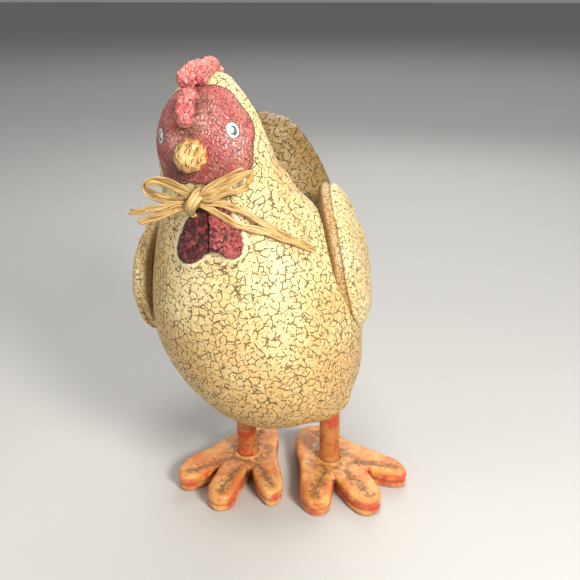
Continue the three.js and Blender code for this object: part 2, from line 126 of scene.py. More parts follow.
def make_studio():
    chest = (0, 0, 0.13)
    make_light("key", (0.50, -0.50, 0.50), chest, 0.24, 8.7, (1.0, 0.96, 0.89))
    make_light("fill", (-0.70, -0.55, 0.24), chest, 0.8, 3.2, (1.0, 0.96, 0.90))
    make_light("top", (0.0, -0.15, 0.9), (0, 0, 0.2), 0.3, 3.0, (1.0, 0.98, 0.95))
    make_light("back", (0.1, 0.8, 0.7), chest, 0.7, 3.0, (1.0, 0.98, 0.95))
    make_light("floor_wash", (0, 1.6, 2.2), (0, 1.3, 0), 2.5, 22.0, (1.0, 0.99, 0.97))
    world = bpy.data.worlds.new("studio")
    world.use_nodes = True
    world.node_tree.nodes["Background"].inputs["Color"].default_value = (0.80, 0.82, 0.85, 1)
    world.node_tree.nodes["Background"].inputs["Strength"].default_value = 0.27
    bpy.context.scene.world = world
    bpy.context.scene.view_settings.view_transform = "Standard"


def make_floor():
    mesh = bpy.data.meshes.new("floor")
    corners = [(x * FLOOR_REACH, y * FLOOR_REACH, 0) for x, y in ((-1, -1), (1, -1), (1, 1), (-1, 1))]
    mesh.from_pydata(corners, [], [(0, 1, 2, 3)])
    matte = {"Specular IOR Level": 0.0}
    mesh.materials.append(Paint("floor_paint").finish((0.50, 0.495, 0.485), 1.0, **matte))
    linked("floor", mesh)


# ------------------------------------------------------------------ node materials
class Paint:
    """A Principled material under construction. Lengths in its textures are millimetres."""

    def __init__(self, name):
        self.material = bpy.data.materials.new(name)
        self.material.use_nodes = True
        self.tree = self.material.node_tree
        self.shader = self.tree.nodes["Principled BSDF"]
        place = self.add("ShaderNodeTexCoord").outputs["Object"]
        scale = self.add("ShaderNodeVectorMath", operation="SCALE")
        self.tree.links.new(place, scale.inputs[0])
        scale.inputs["Scale"].default_value = 1 / MM
        self.place = scale.outputs[0]

    def add(self, kind, **settings):
        node = self.tree.nodes.new(kind)
        for name, value in settings.items():
            setattr(node, name, value)
        return node

    def put(self, value, socket):
        if isinstance(value, bpy.types.NodeSocket):
            self.tree.links.new(value, socket)
        elif isinstance(value, tuple) and len(value) == 3 and len(socket.default_value) == 4:
            socket.default_value = (*value, 1)
        else:
            socket.default_value = value

    def math(self, operation, a, b=0.0, clamp=False):
        node = self.add("ShaderNodeMath", operation=operation, use_clamp=clamp)
        self.put(a, node.inputs[0])
        self.put(b, node.inputs[1])
        return node.outputs[0]

    def most(self, first, *others):
        for other in others:
            first = self.math("MAXIMUM", first, other)
        return first

    def step(self, value, low, high, to_low=0.0, to_high=1.0):
        """Runs smoothly from to_low to to_high as value goes from low to high."""
        node = self.add("ShaderNodeMapRange", interpolation_type="SMOOTHSTEP")
        for socket, given in zip(node.inputs[:5], (value, low, high, to_low, to_high)):
            self.put(given, socket)
        return node.outputs[0]

    def mix(self, share, a, b, blend="MIX"):
        node = self.add("ShaderNodeMix", data_type="RGBA", blend_type=blend)
        self.put(share, node.inputs[0])
        self.put(a, node.inputs[6])
        self.put(b, node.inputs[7])
        return node.outputs[2]

    def stretch(self, vector, by):
        node = self.add("ShaderNodeVectorMath", operation="MULTIPLY")
        self.put(vector, node.inputs[0])
        node.inputs[1].default_value = by
        return node.outputs[0]

    def noise(self, size, detail=2.0, rough=0.5, warp=0.0, vector=None, colour=False):
        node = self.add("ShaderNodeTexNoise")
        self.put(vector or self.place, node.inputs["Vector"])
        node.inputs["Scale"].default_value = 1 / size
        node.inputs["Detail"].default_value = detail
        node.inputs["Roughness"].default_value = rough
        node.inputs["Distortion"].default_value = warp
        return node.outputs["Color" if colour else "Fac"]

    def shaken(self, size, reach, vector=None):
        """The place, moved about by up to reach in wobbles of this size."""
        start = vector or self.place
        wobble = self.add("ShaderNodeVectorMath", operation="SUBTRACT")
        self.put(self.noise(size, 2.5, 0.6, vector=start, colour=True), wobble.inputs[0])
        wobble.inputs[1].default_value = (0.5, 0.5, 0.5)
        scaled = self.add("ShaderNodeVectorMath", operation="SCALE")
        self.put(wobble.outputs[0], scaled.inputs[0])
        scaled.inputs["Scale"].default_value = reach
        total = self.add("ShaderNodeVectorMath", operation="ADD")
        self.put(start, total.inputs[0])
        self.put(scaled.outputs[0], total.inputs[1])
        return total.outputs[0]

    def to_wall(self, size, vector):
        """How far it is to the nearest wall between cells of this size, as a share of the size."""
        node = self.add("ShaderNodeTexVoronoi", feature="DISTANCE_TO_EDGE")
        self.put(vector, node.inputs["Vector"])
        node.inputs["Scale"].default_value = 1 / size
        return node.outputs["Distance"]

    def from_edge(self, size, wobble=0.30):
        """How far it is along the skin to the nearest edge between wobbly cells of this size."""
        vector = self.shaken(size * 0.9, size * wobble, self.shaken(size * 0.24, size * 0.16))
        here = self.to_wall(size, vector)
        # Where an edge lies nearly flat under the skin, a step inward shows it, and the distance grows.
        probe = 0.1
        inward = self.add("ShaderNodeVectorMath", operation="MULTIPLY_ADD")
        self.put(self.add("ShaderNodeNewGeometry").outputs["Normal"], inward.inputs[0])
        inward.inputs[1].default_value = (-probe * size,) * 3
        self.put(vector, inward.inputs[2])
        change = self.math("SUBTRACT", self.to_wall(size, inward.outputs[0]), here)
        slant = self.math("POWER", self.math("ABSOLUTE", self.math("DIVIDE", change, probe)), 2.0)
        level = self.math("SQRT", self.math("MAXIMUM", self.math("SUBTRACT", 1.0, slant), 0.05))
        return self.math("DIVIDE", self.math("MULTIPLY", here, size), level)

    def cracks(self, edge, size, width, gaps):
        """1 in the cracks along the edges between cells, 0 elsewhere. More gaps leave more of them whole."""
        vary = self.noise(size * 0.55, 1.0)
        half = self.step(vary, 0.24 + gaps * 0.45, 0.48 + gaps * 0.35, -0.2, width / 2)
        return self.step(self.math("SUBTRACT", half, edge), -0.09, 0.09)

    def attribute(self, name):
        return self.add("ShaderNodeAttribute", attribute_name=name).outputs["Fac"]

    def finish(self, colour, roughness, height=None, bump=0.3, **sockets):
        self.put(colour, self.shader.inputs["Base Color"])
        self.put(roughness, self.shader.inputs["Roughness"])
        for name, value in sockets.items():
            self.shader.inputs[name].default_value = value
        if height is not None:
            node = self.add("ShaderNodeBump")
            node.inputs["Strength"].default_value = 1.0
            node.inputs["Distance"].default_value = bump * MM
            self.put(height, node.inputs["Height"])
            self.put(node.outputs[0], self.shader.inputs["Normal"])
        return self.material


CREAM_PALE = (0.76, 0.655, 0.35)
CREAM_DEEP = (0.59, 0.365, 0.125)
CRACK_DARK = (0.082, 0.048, 0.014)


def crackle(p, size, width, age_and_shade, whole=0.0):
    """Colour, roughness and height of crackled cream paint with cells of this size.

    Its age-and-shade share, 0 to 1, is more where the paint is more finely cracked and darker; the darkening is
    partly older paint and partly painted shade. whole is 1 where it is uncracked.
    """
    fine_size = size * 0.58
    edge = p.from_edge(size)
    fine_edge = p.from_edge(fine_size)
    wide = p.cracks(edge, size, width, gaps=0.20)
    fine = p.cracks(fine_edge, fine_size, width * 0.8, gaps=0.55)
    fine = p.math("MULTIPLY", fine, p.math("ADD", 0.6, p.math("MULTIPLY", age_and_shade, 0.4)))
    crack = p.math("MULTIPLY", p.most(wide, fine), p.math("SUBTRACT", 1.0, whole))
    near = p.math("MINIMUM", edge, p.math("MULTIPLY", fine_edge, 1.5))
    # Deeper tan with the age-and-shade share: older paint, and painted shade where the body turns away from the
    # light.
    cloud = p.math("ADD", p.noise(40, 3, 0.6), p.math("MULTIPLY", age_and_shade, 0.36))
    cream = p.mix(p.step(cloud, 0.38, 0.84), CREAM_PALE, CREAM_DEEP)
    mottle = p.noise(2.2, 4, 0.7)
    cream = p.mix(p.step(mottle, 0.50, 0.78, 0, 0.5), cream, (0.56, 0.36, 0.12))
    cream = p.mix(p.step(mottle, 0.46, 0.26, 0, 0.6), cream, (0.90, 0.83, 0.58))
    rosy = p.step(p.noise(24, 2, 0.5, warp=0.6), 0.54, 0.70, 0, 0.55)
    cream = p.mix(rosy, cream, (0.66, 0.36, 0.15))
    cream = p.mix(p.step(near, 0.10, 0.70, 0.25, 0), cream, (0.56, 0.37, 0.13))
    cream = p.mix(whole, cream, (0.86, 0.76, 0.48))
    dark = p.mix(p.noise(3.0, 2), CRACK_DARK, (0.15, 0.10, 0.035))
    colour = p.mix(p.math("MULTIPLY", crack, 0.92), cream, dark)
    roughness = p.step(crack, 0, 1, 0.38, 0.8)
    domed = p.math("MULTIPLY", p.step(near, 0, 0.7), 0.20)
    height = p.math("ADD", domed, p.math("SUBTRACT", p.math("MULTIPLY", p.noise(0.8, 2), 0.14), crack))
    return colour, roughness, height


# ------------------------------------------------------------------ mesh tools
def piece_from_grid(name, rings):
    """A closed mesh, facing out, from rings of points (rows x columns x 3, in metres) and a hub at each end."""
    rows, columns = rings.shape[:2]
    points = rings.reshape(-1, 3)
    index = np.arange(rows * columns).reshape(rows, columns)
    a = index[:-1]
    b = np.roll(index, -1, axis=1)[:-1]
    c = np.roll(index, -1, axis=1)[1:]
    d = index[1:]
    faces = np.stack([a, b, c, d], -1).reshape(-1, 4).tolist()
    points = np.vstack([points, rings[0].mean(0), rings[-1].mean(0)])
    first, last = index[0], index[-1]
    hub = rows * columns
    faces += [[hub, int(first[(i + 1) % columns]), int(first[i])] for i in range(columns)]
    faces += [[hub + 1, int(last[i]), int(last[(i + 1) % columns])] for i in range(columns)]
    mesh = bpy.data.meshes.new(name)
    mesh.from_pydata(points.tolist(), [], faces)
    shape = bmesh.new()
    shape.from_mesh(mesh)
    if shape.calc_volume(signed=True) < 0:  # the rings ran the other way round
        mesh.flip_normals()
    shape.free()
    mesh.update()
    mesh.shade_smooth()
    return linked(name, mesh)


def bird_tree(*names):
    """The outside of some CAD nodes, in bird millimetres, for casting rays at."""
    points, faces = [], []
    for name in names:
        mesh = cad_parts[name].data
        start = len(points)
        points += [TO_BIRD @ v.co for v in mesh.vertices]
        faces += [[start + i for i in polygon.vertices] for polygon in mesh.polygons]
    return BVHTree.FromPolygons(points, faces)


def smoothed(values, sigma, axis, wrap):
    """values blurred along one axis, by a bell of this sigma in samples."""
    reach = int(3 * sigma) + 1
    weights = np.exp(-0.5 * (np.arange(-reach, reach + 1) / sigma) ** 2)
    weights /= weights.sum()
    pad = [(0, 0)] * values.ndim
    pad[axis] = (reach, reach)
    padded = np.pad(values, pad, mode="wrap" if wrap else "reflect")
    return np.apply_along_axis(lambda line: np.convolve(line, weights, "valid"), axis, padded)


def set_attribute(piece, name, values):
    layer = piece.data.attributes.new(name, "FLOAT", "POINT")
    layer.data.foreach_set("value", np.asarray(values, np.float32))


def points_of(piece):
    co = np.empty(len(piece.data.vertices) * 3, np.float32)
    piece.data.vertices.foreach_get("co", co)
    return co.reshape(-1, 3)


def bird_points(piece):
    matrix = np.array(TO_BIRD)
    return points_of(piece) @ matrix[:3, :3].T + matrix[:3, 3]


def normals_of(piece):
    normals = np.empty(len(piece.data.vertices) * 3, np.float32)
    piece.data.vertex_normals.foreach_get("vector", normals)
    return normals.reshape(-1, 3)


def bell(values, width):
    """1 where the values are 0, falling smoothly to nearly 0 at twice the width."""
    return np.exp(-((values / width) ** 2))


def spots(points, places):
    """The strength at each point of each soft round spot. A spot is its x, y, z, reach and strength."""
    return [size * bell(np.linalg.norm(points - (x, y, z), axis=1), reach) for x, y, z, reach, size in places]


def lumps(points, size, seed):
    """Smooth noise from about -1 to 1 at each point."""
    return np.array([noise.noise(Vector(p) / size + Vector((seed, seed * 1.7, -seed))) for p in points])


def push(piece, millimetres):
    """Moves each point along its normal."""
    co = points_of(piece) + normals_of(piece) * np.asarray(millimetres)[:, None] * MM
    piece.data.vertices.foreach_set("co", co.ravel().astype(np.float32))
    piece.data.update()


def baked(piece, voxel, rounds):
    """Remakes a mesh as one even skin with its edges softened."""
    remesh = piece.modifiers.new("remesh", "REMESH")
    remesh.mode = "VOXEL"
    remesh.voxel_size = voxel * MM
    smooth = piece.modifiers.new("smooth", "SMOOTH")
    smooth.factor = 0.5
    smooth.iterations = rounds
    bpy.context.view_layer.update()
    done = piece.evaluated_get(bpy.context.evaluated_depsgraph_get())
    mesh = bpy.data.meshes.new_from_object(done)
    piece.modifiers.clear()
    piece.data = mesh
    mesh.name = piece.name
    mesh.materials.clear()
    mesh.shade_smooth()
    return piece


def remade(node, name, voxel, rounds):
    """A CAD node's shape as a fine, soft-edged mesh."""
    return baked(linked(name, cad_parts[node].data.copy()), voxel, rounds)


def blob(name, balls, voxel, rounds):
    """One lump out of overlapping ellipsoids, each a middle and radii in bird millimetres."""
    mesh = bmesh.new()
    for centre, radii in balls:
        shape = BIRD @ Matrix.Translation(centre) @ Matrix.Diagonal((*radii, 1))
        bmesh.ops.create_icosphere(mesh, subdivisions=4, radius=1, matrix=shape)
    data = bpy.data.meshes.new(name)
    mesh.to_mesh(data)
    mesh.free()
    return baked(linked(name, data), voxel, rounds)


def bend_between(a, b, c, d, t):
    """The point a share t of the way from b to c on a smooth curve through all four."""
    bend = (c - a) * t + (2 * a - 5 * b + 4 * c - d) * t**2 + (3 * b - a - 3 * c + d) * t**3
    return b + 0.5 * bend


def curve_through(points, spacing):
    """Points a spacing apart along a smooth curve through the given ones."""
    given = [Vector(p) for p in points]
    given = [2 * given[0] - given[1], *given, 2 * given[-1] - given[-2]]
    made = []
    for i in range(1, len(given) - 2):
        steps = max(2, round((given[i + 1] - given[i]).length / spacing))
        made += [bend_between(*given[i - 1 : i + 3], k / steps) for k in range(steps)]
    made.append(given[-2])
    return made


def closed_curve(points, count):
    """count points round a smooth closed curve through the given ones."""
    given = np.array(points, float)
    made = []
    for k in range(count):
        at = k * len(given) / count
        i = int(at)
        around = (given[(i + j) % len(given)] for j in (-1, 0, 1, 2))
        made.append(bend_between(*around, at - i))
    return np.array(made)


def in_bird_place(rings):
    matrix = np.array(BIRD)
    return np.asarray(rings) @ matrix[:3, :3].T + matrix[:3, 3]


def finish_piece(piece, material, slot, *nodes):
    piece.data.materials.append(material)
    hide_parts(*nodes)
    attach(piece, "root")


# ------------------------------------------------------------------ body
BODY_ROWS = 270
BODY_COLUMNS = 336
CAST_FROM = 150  # millimetres out from the spine
SEAM_SLOPE = 0.16  # how far back the seam between the shells goes for each millimetre down
# Soft round spots, as spots() takes them: bumps on the seam; dirt with painted shade in the hollows by the
# comb, above the beak and by the chin; and wear with painted highlight on the red face.
SEAM_BUMPS = [(31, -11, 185, 6, 1.5), (39, -15, 56, 7, 3.2), (29, -23, 53, 7, 2.2)]
GRIME_AND_SHADE = [
    (5, -44, 228, 6, 0.9), (-4, -46, 229, 6, 0.9), (0, -50, 217, 6, 1.0), (-12, -46, 199, 8, 0.9),
    (8, -47, 198, 7, 0.5), (-3, -48, 200, 5, 0.6),
]  # fmt: skip
WORN_AND_SHEEN = [(17, -44, 209, 9, 1), (9, -48, 222, 8, 1), (-8, -50, 213, 6, 1)]
# The red face, as distance in millimetres from its middle at each angle from level, going up and then down.
FACE_OUTLINE = [
    (-90, 19.2), (-70, 18.8), (-59, 20.0), (-47, 24.0), (-40, 26.8), (-32, 28.2), (-21, 27.0), (-11, 27.2),
    (-4, 29.4), (4, 30.8), (12, 31.2), (19, 30.5), (25, 30.8), (33, 32.4), (44, 30.3), (56, 26.6),
    (70, 24.0), (90, 22.5),
]  # fmt: skip


def spine(v):
    """Where a ray aimed at the body's skin ends, and how far it climbs, for v from belly 0 to crown 1."""
    wave = math.sin(2 * math.pi * v) / (2 * math.pi)
    z = 98 + 116 * (v - wave)
    lean_back = min(max((z - 130) / 75, 0), 1)
    y = 0.5 - 26.5 * lean_back**2 * (3 - 2 * lean_back)
    climb = math.radians(-90 + 180 * (v + 0.85 * wave))
    return Vector((1, y, z)), climb


def from_wattles(points):
    """How far outside the wattles' outlines each point is, seen from in front; 9 or more if far off."""
    distance = np.full(len(points), 9.0)
    close = np.flatnonzero((points[:, 1] < -30) & (points[:, 2] > 150) & (points[:, 2] < 192))
    seen = points[close][:, (0, 2)]
    for outline in WATTLES.values():
        ring = closed_curve(outline, 240)
        offset = seen[:, None, :] - ring[None]
        nearest = np.linalg.norm(offset, axis=2).min(axis=1)
        distance[close] = np.minimum(distance[close], nearest)
    return distance


def filled(distance):
    """Smooth ray lengths, with those that missed or went astray filled in from their neighbours."""
    for row in distance:
        typical = np.nanmedian(row)
        row[np.abs(row - typical) > 0.5 * typical] = np.nan
        known = np.flatnonzero(~np.isnan(row))
        row[:] = np.interp(np.arange(BODY_COLUMNS), known, row[known], period=BODY_COLUMNS)
    # The leg holes leave dents: a wide local middle value fills them.
    padded = np.pad(distance, ((0, 0), (12, 12)), mode="wrap")
    usual = np.median(np.stack([padded[:, i : i + BODY_COLUMNS] for i in range(25)]), axis=0)
    distance = np.where(distance < usual - 1.0, usual, distance)
    return smoothed(smoothed(distance, 4.5, 1, True), 3.0, 0, False)


def body_shape(shells):
    """The outside of both shells as one skin, found by casting rays in at them."""
    distance = np.full((BODY_ROWS, BODY_COLUMNS), np.nan)
    origins, ways = [], []
    for row in range(BODY_ROWS):
        origin, climb = spine((row + 0.5) / BODY_ROWS)
        level = math.cos(climb)
        origins.append(origin)
        for column in range(BODY_COLUMNS):
            turn = 2 * math.pi * column / BODY_COLUMNS
            way = Vector((level * math.cos(turn), level * math.sin(turn), math.sin(climb)))
            ways.append(way)
            hit, normal, _, far = shells.ray_cast(origin + way * CAST_FROM, -way)
            if hit is not None and normal.dot(way) > 0.15:
                distance[row, column] = CAST_FROM - far
    ways = np.array(ways).reshape(BODY_ROWS, BODY_COLUMNS, 3)
    points = np.array(origins)[:, None, :] + ways * filled(distance)[..., None]
    return piece_from_grid("body_skin", in_bird_place(points))


def body_relief(skin):
    """Raises the seam between the shells, the lip round the wattles and the lumps of the paper."""
    p = bird_points(skin)
    seam = (p[:, 1] + 25 - (237 - p[:, 2]) * SEAM_SLOPE) / math.hypot(1, SEAM_SLOPE)
    patchy = np.clip(lumps(p, 14, 3) * 1.6 + 0.45, 0, 1)
    under = np.clip((64 - p[:, 2]) / 8, 0, 1)
    lip = bell(from_wattles(p) - 0.9, 0.75)
    ridge = 0.55 * bell(seam, 2.2) * (patchy + 1.5 * under) + sum(spots(p, SEAM_BUMPS)) + 0.6 * lip
    push(skin, 0.8 * lumps(p, 34, 1) + 0.3 * lumps(p, 13, 2) + 0.1 * lumps(p, 4, 5) + ridge)
    set_attribute(skin, "lip", lip)


def body_masks(skin):
    """Where on the skin the red face, the eyes, the dirt with painted shade, the wear with painted highlight
    and the older paint with painted shade are, for its paint to read.
    """
    p = bird_points(skin)
    azimuth = np.arctan2(p[:, 0] - HEAD_AXIS[0], HEAD_AXIS[1] - p[:, 1])
    across = np.abs(azimuth) * HEAD_R
    up = p[:, 2] - FACE_Z
    angles, reaches = zip(*FACE_OUTLINE)
    face = np.interp(np.degrees(np.arctan2(up, across)), angles, reaches) - np.hypot(across, up)
    set_attribute(skin, "face", np.clip(face + 0.5 * lumps(p, 3, 7), -9, 30))
    eye_turn, eye_height = np.where(azimuth[:, None] > 0, EYES["left"], EYES["right"]).T
    set_attribute(skin, "eye_across", np.clip(across - np.radians(eye_turn) * HEAD_R, -9, 9))
    set_attribute(skin, "eye_up", np.clip(p[:, 2] - eye_height, -9, 9))
    set_attribute(skin, "grime_and_shade", np.max(spots(p, GRIME_AND_SHADE), axis=0))
    set_attribute(skin, "worn_and_sheen", np.max(spots(p, WORN_AND_SHEEN), axis=0))
    # Older, tanner paint and painted shade together: more low down, toward her right side and toward her back,
    # where less light falls, and less on the crown.
    low = np.clip((138 - p[:, 2]) / 62, 0, 1)
    her_right = np.clip((22 - p[:, 0]) / 50, 0, 1)
    behind = np.clip((p[:, 1] + 5) / 40, 0, 1)
    crown = np.clip((p[:, 2] - 172) / 30, 0, 1)
    set_attribute(skin, "age_and_shade", np.clip(low + 0.5 * her_right + 0.6 * behind - crown, 0, 1))


def body(shells):
    skin = body_shape(shells)
    body_relief(skin)
    body_masks(skin)
    finish_piece(skin, body_paint(), "crackle_papier_mache", "body_front_shell", "body_rear_shell")


def red_wrinkles(p, size, pale, worn_and_sheen):
    """Colour and height of red paint on wrinkled paper.

    pale is how much its crests are lightened, partly as wear and partly as painted highlight, and the
    wear-and-sheen share is 0 to 1, more where more of them are.
    """
    flow = p.stretch(p.shaken(size * 0.6, size * 1.2), (1.25, 0.85, 0.7))
    net = p.to_wall(size, flow)
    crease = p.step(net, 0.0, 0.15, 1, 0)
    deep = p.step(p.noise(1.8, 3, 0.7, warp=0.6), 0.42, 0.60, 0.05, 1)
    # Pale crests: partly wear, partly painted highlight, more where the wear-and-sheen share is high: by the
    # eye, on the brow and on the comb.
    rubbed_and_sheen = p.math("ADD", p.noise(0.9, 3, 0.75, warp=1.2), p.math("MULTIPLY", worn_and_sheen, 0.26))
    lit = p.math("MULTIPLY", p.step(rubbed_and_sheen, 0.54, 0.72), p.step(p.noise(5, 3, 0.6), 0.30, 0.62, 0.55, 1))
    crest = p.math("MULTIPLY", p.step(net, 0.02, 0.16), lit)
    broad = p.noise(8, 3, 0.6, warp=0.5)
    red = p.mix(p.step(broad, 0.34, 0.68), (0.70, 0.105, 0.110), (0.90, 0.290, 0.235))
    red = p.mix(p.step(p.noise(15, 2, 0.5), 0.50, 0.70, 0, 0.5), red, (0.70, 0.26, 0.15))
    red = p.mix(p.math("MULTIPLY", crest, pale), red, (0.98, 0.76, 0.71))
    colour = p.mix(p.math("MULTIPLY", crease, deep), red, (0.15, 0.012, 0.020))
    height = p.math("ADD", p.math("MULTIPLY", p.step(net, 0, 0.34), 0.9), p.noise(0.45, 2))
    return colour, height


def body_paint():
    p = Paint("body_crackle")
    cream, rough, relief = crackle(p, 3.7, 0.43, p.attribute("age_and_shade"), p.attribute("lip"))
    red, wrinkles = red_wrinkles(p, 1.5, 0.75, p.attribute("worn_and_sheen"))
    wrinkles = p.math("MULTIPLY", wrinkles, 2.6)
    face = p.attribute("face")
    ragged = p.math("ADD", face, p.math("MULTIPLY", p.math("SUBTRACT", p.noise(1.0, 2), 0.5), 0.9))
    inside = p.step(ragged, -0.10, 0.10)
    rim = p.math("SUBTRACT", 1.0, p.step(p.math("ABSOLUTE", ragged), 0.25, 0.75))
    # Dark brown on the red face in the hollows by the comb, above the beak and by the chin: dirt and painted
    # shade.
    grime_and_shade = p.math("MULTIPLY", p.attribute("grime_and_shade"), p.step(p.noise(1.3, 3, 0.7), 0.28, 0.54))
    red = p.mix(p.math("MULTIPLY", grime_and_shade, 0.85), red, (0.115, 0.075, 0.040))
    colour = p.mix(inside, cream, red)
    colour = p.mix(p.math("MULTIPLY", rim, 0.7), colour, (0.13, 0.065, 0.03))
    roughness = p.step(inside, 0, 1, rough, 0.26)
    colour, height = with_eyes(p, colour, p.mix(inside, relief, wrinkles))
    return p.finish(colour, roughness, height, bump=0.4, **{"Specular IOR Level": 0.5})


def with_eyes(p, colour, height):
    """The colour and height with an eye painted over them on each side."""
    u, v = p.attribute("eye_across"), p.attribute("eye_up")

    def disc(cu, cv, radius, tall=1.0):
        du = p.math("SUBTRACT", u, cu)
        dv = p.math("DIVIDE", p.math("SUBTRACT", v, cv), tall)
        far = p.math("SQRT", p.math("ADD", p.math("MULTIPLY", du, du), p.math("MULTIPLY", dv, dv)))
        wavy = p.math("ADD", far, p.math("MULTIPLY", p.math("SUBTRACT", p.noise(0.9, 1), 0.5), 0.35))
        return p.step(wavy, radius - 0.12, radius + 0.12, 1, 0)

    outline = disc(0, 0, 3.25, tall=1.16)
    white = disc(0, 0, 2.8, tall=1.16)
    pupil = p.most(disc(0.25, -0.25, 1.75, tall=1.3), p.math("MULTIPLY", disc(0.8, 0.9, 0.9), 0.9))
    pupil = p.math("SUBTRACT", pupil, disc(-0.5, 0.15, 0.95, tall=1.2), clamp=True)
    dirty = p.step(p.noise(0.9, 3, 0.7), 0.35, 0.60, 0.7, 1.0)
    colour = p.mix(p.math("MULTIPLY", outline, 0.85), colour, (0.085, 0.085, 0.075))
    colour = p.mix(p.math("MULTIPLY", white, p.step(dirty, 0.7, 1.0, 1, 0.85)), colour, (0.74, 0.78, 0.74))
    colour = p.mix(p.math("MULTIPLY", pupil, dirty), colour, (0.04, 0.045, 0.05))
    return colour, p.mix(outline, height, (0.5, 0.5, 0.5))


# ------------------------------------------------------------------ tail
def tail():
    piece = remade("tail_fan", "tail", 1.3, 10)
    p = bird_points(piece)
    fan = np.arctan2(p[:, 0] - 2, p[:, 2] - 105)
    high = np.clip((p[:, 2] - 150) / 45, 0, 1)
    ribs = 0.22 * np.sin(p[:, 2] * 1.1 + 3 * np.abs(fan)) * high
    push(piece, 0.9 * lumps(p, 26, 4) + 0.25 * lumps(p, 9, 6) + 0.12 * lumps(p, 3, 6) + ribs)
    p = Paint("tail_crackle")
    colour, rough, height = crackle(p, 4.4, 0.5, 0.4)
    # Painted shade: the tail's crackle is multiplied much darker, for the tail standing back out of the light.
    colour = p.mix(1.0, colour, (0.37, 0.325, 0.215), "MULTIPLY")
    finish_piece(piece, p.finish(colour, rough, height, bump=0.3), "crackle_papier_mache", "tail_fan")


# ------------------------------------------------------------------ wings
# Seen from the side: y, z round the outline, front edge last.
WING_OUTLINE = [
    (12, 172), (31, 167), (45, 153), (50, 134), (45, 118), (31, 104.5), (12, 97),
    (-6, 97.5), (-17, 105), (-22, 114), (-24, 130), (-18.5, 149.5), (-6, 165),
]  # fmt: skip
WING_MIDDLE = (10, 130)
# How far out from her middle the wing's face stands at each height.
WING_REACH = ([97, 108, 120, 134, 144, 152, 164, 174], [58.5, 61.5, 62, 61.5, 59.5, 57, 52.5, 45.5])
# From the middle of the outer face, over the rolled rim and its groove, to behind: share of the outline,
# millimetres in from the outline, millimetres down from the outer face.
WING_PROFILE = [
    (0.02, 0, 0), (0.15, 0, 0), (0.3, 0, 0), (0.42, 0, 0), (0.54, 0, 0), (0.64, 0, 0), (0.72, 0, 0.05),
    (0.79, 0, 0.1), (0.85, 0, 0.3), (1, 4.4, 0.6), (1, 3.3, 0.9), (1, 2.3, 1.3), (1, 1.5, 1.8),
    (1, 1.0, 2.4), (1, 0.8, 3.0), (1, 0.9, 3.5), (1, 1.2, 3.9), (1, 1.4, 4.3), (1, 1.2, 4.8),
    (1, 0.8, 5.3), (1, 0.4, 5.8), (1, 0.1, 6.5), (1, 0, 7.3), (1, 0.4, 8.3), (1, 1.2, 9.6),
    (1, 2.2, 10.8), (0.92, 0, 11.6), (0.5, 0, 12.0), (0.1, 0, 12.0),
]  # fmt: skip
WING_COLUMNS = 220
# For each wing: its piece's name and side, how far out it is moved, how much further out its top stands,
# how far up it is moved, and its height as a share of the outline's.
WINGS = {
    "left_wing": ("left_wing_puffed", 1, 0, 3.2, 0, 1),
    "right_wing": ("right_wing_puffed", -1, 4.5, -2, 6, 0.9),
}


